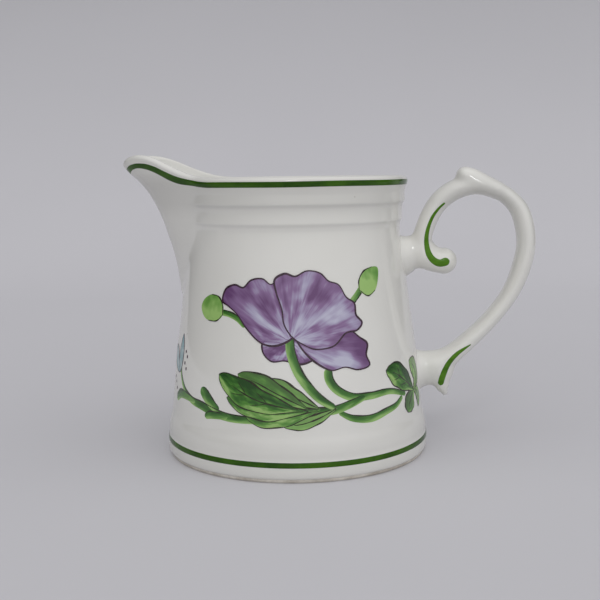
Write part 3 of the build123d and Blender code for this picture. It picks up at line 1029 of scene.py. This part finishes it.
def glaze_tint(tree, at):
    """A warm white that drifts, with painted shade darkening it toward the foot and over the ribbed band
    under the rim, and faint kiln specks.
    """
    drift = ramp(tree, noise(tree, at, 26.0, 3.0), [(0.3, *GLAZE[0]), (0.7, *GLAZE[1])])
    height = parts_of(tree, at)["Z"]
    # Painted shade: the glaze is darkened toward the foot and over the ribbed band under the rim, where
    # shade falls.
    foot_painted_shade = level(tree, height, 0.011, 0.026, 0.09, 0.0)
    rib_band_painted_shade = joined(tree, level(tree, height, 0.076, 0.081, 0.0, 0.1),
                       level(tree, height, 0.087, 0.09, 1.0, 0.0), "MULTIPLY")
    drift = blend(tree, joined(tree, foot_painted_shade, rib_band_painted_shade), drift, BLACK)
    cells = put(tree, "TexVoronoi", {"Vector": at, "Scale": 170.0, "Randomness": 1.0}).outputs["Distance"]
    specks = joined(tree, level(tree, cells, 0.035, 0.06, 1.0, 0.0),
                    level(tree, noise(tree, at, 60.0, 1.0), 0.6, 0.66, 0.0, 0.35), "MULTIPLY")
    return blend(tree, specks, drift, srgb(*SPECK))


def glaze_material():
    """White glaze with a slow ripple that bends its reflections."""
    material, tree, shader, at = surface("glazed_porcelain", 0.09, coat=0.1)
    feed(shader, "Base Color", glaze_tint(tree, at))
    rough_by(tree, shader, noise(tree, at, 70.0, 4.0), 0.06, 0.13)
    relief(tree, shader, noise(tree, at, 38.0, 2.0), 0.08, 0.25)
    return material


def bare_material():
    """The unglazed foot: dry, slightly sandy and rubbed grey where it touches."""
    material, tree, shader, at = surface("bare_porcelain", 0.8)
    tint = ramp(tree, noise(tree, at, 140.0, 5.0, 0.7), [(0.35, *BARE[0]), (0.6, *BARE[1])])
    feed(shader, "Base Color", tint)
    rough_by(tree, shader, noise(tree, at, 300.0, 3.0), 0.7, 0.9)
    relief(tree, shader, noise(tree, at, 1400.0, 3.0), 0.5, 0.08)
    return material


def enamel_material(name, dark, light):
    """Brushed enamel: a tint that pools along the stroke and a lively gloss."""
    material, tree, shader, at = surface(name, 0.12)
    shader.inputs["Specular IOR Level"].default_value = 0.22
    pooled = noise(tree, stretched(tree, at, (1.0, 1.0, 2.6)), 130.0, 4.0, 0.6)
    feed(shader, "Base Color", ramp(tree, pooled, [(0.32, *dark), (0.68, *light)]))
    rough_by(tree, shader, noise(tree, at, 240.0), 0.08, 0.2)
    relief(tree, shader, pooled, 0.15, 0.05)
    return material


def painted_material(kind):
    """Overglaze colour whose tint comes from the paint attribute: x, y and tone."""
    material, tree, shader, at = surface("spray_" + kind, 0.16)
    values = put(tree, "Attribute", {}, attribute_name="paint").outputs["Vector"]
    colour = petal_colour(tree, values) if kind == "petals" else wash_colour(tree, values, kind)
    feed(shader, "Base Color", colour)
    rough_by(tree, shader, noise(tree, at, 260.0), 0.1, 0.24)
    relief(tree, shader, noise(tree, at, 420.0, 2.0), 0.12, 0.04)
    return material


def petal_colour(tree, values):
    """Streaks that fan out from the heart, pooling to purple, with paler washes between."""
    parts = parts_of(tree, values)
    broad = noise(tree, stretched(tree, values, (1.5, 1.5, 9.0)), 1.4, 2.0, 0.5)
    fine = noise(tree, stretched(tree, values, (3.8, 1.1, 5.0)), 1.0, 3.0, 0.6)
    hair = noise(tree, stretched(tree, values, (18.0, 2.4, 5.0)), 1.0, 2.0, 0.6)
    strength = blend(tree, 0.11, blend(tree, 0.36, broad, fine), hair)
    strength = joined(tree, strength, level(tree, parts["Y"], 0.0, 1.0, -0.04, 0.035))
    strength = joined(tree, strength, level(tree, parts["Z"], 0.0, 1.0, 0.0, 0.065))
    return ramp(tree, strength, [(0.4, 192, 190, 210), (0.47, 168, 158, 188),
                                 (0.53, 138, 108, 150), (0.62, 104, 68, 114)])


def wash_colour(tree, values, kind):
    """A brushed wash, streaked and shaded from side to side; young leaflets are paler."""
    stretch, detail, part, (low, high), tone_lift, stops = WASHES[kind]
    parts = parts_of(tree, values)
    streak = noise(tree, stretched(tree, values, stretch), 1.0, detail)
    shade = joined(tree, level(tree, parts[part], -1.0, 1.0, low, high), streak)
    shade = joined(tree, shade, level(tree, parts["Z"], 0.0, 1.0, 0.0, tone_lift))
    tint = ramp(tree, shade, stops)
    if kind != "leaves":
        return tint
    return blend(tree, level(tree, parts["Z"], 0.0, 1.0, 0.0, 0.7), tint, srgb(*YOUNG_LEAF))


def studio_sky():
    """A world that is bright above and in front of the jug, and dark below and behind it."""
    world = bpy.context.scene.world = bpy.data.worlds.new("studio")
    world.use_nodes = True
    sky = world.node_tree
    direction = put(sky, "TexCoord", {}).outputs["Generated"]
    towards = put(sky, "VectorMath", {0: direction, 1: (0.2, -0.5, 0.843)}, operation="DOT_PRODUCT")
    soft = level(sky, towards.outputs["Value"], 0.0, 1.0, 0.05, 1.15)
    background = sky.nodes["Background"]
    sky.links.new(soft, background.inputs["Strength"])
    background.inputs["Color"].default_value = (0.985, 0.985, 1.0, 1)


# ---------------- pieces
look_camera()
area_light("key", (0.05, -1.3, 1.0), (0, 0, 0.06), 0.28, 2.1)
studio_sky()
bpy.context.scene.view_settings.view_transform = "Standard"

glaze = glaze_material()
line_green = enamel_material("line_enamel", *LINE_GREEN)
stroke_green = enamel_material("stroke_enamel", *STROKE_GREEN)
paint(backdrop(), paper_material())
for piece, material in ((vessel, glaze), (handle, glaze), (foot_ring, bare_material()),
                        (rim_line, line_green), (base_line, line_green)):
    paint(piece, material)
for piece in strokes.values():
    paint(piece, stroke_green)
spray_paint = {kind: painted_material(kind) for kind in ("petals", *WASHES)}
for name, piece in spray.items():
    paint(piece, spray_paint[name.split("_")[0]])
    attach(piece, "root")

for piece, slot, nodes in (
        (vessel, "glazed_porcelain", ("body", "spout")), (foot_ring, "bare_porcelain", ("foot_ring",)),
        (handle, "glazed_porcelain", ("handle", "upper_handle_joint", "lower_handle_joint")),
        (rim_line, "green_enamel", ("rim_line",)), (base_line, "green_enamel", ("base_line",)),
        *[(piece, "green_enamel", (node,)) for node, piece in strokes.items()]):
    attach(piece, "root")
    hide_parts(*nodes)
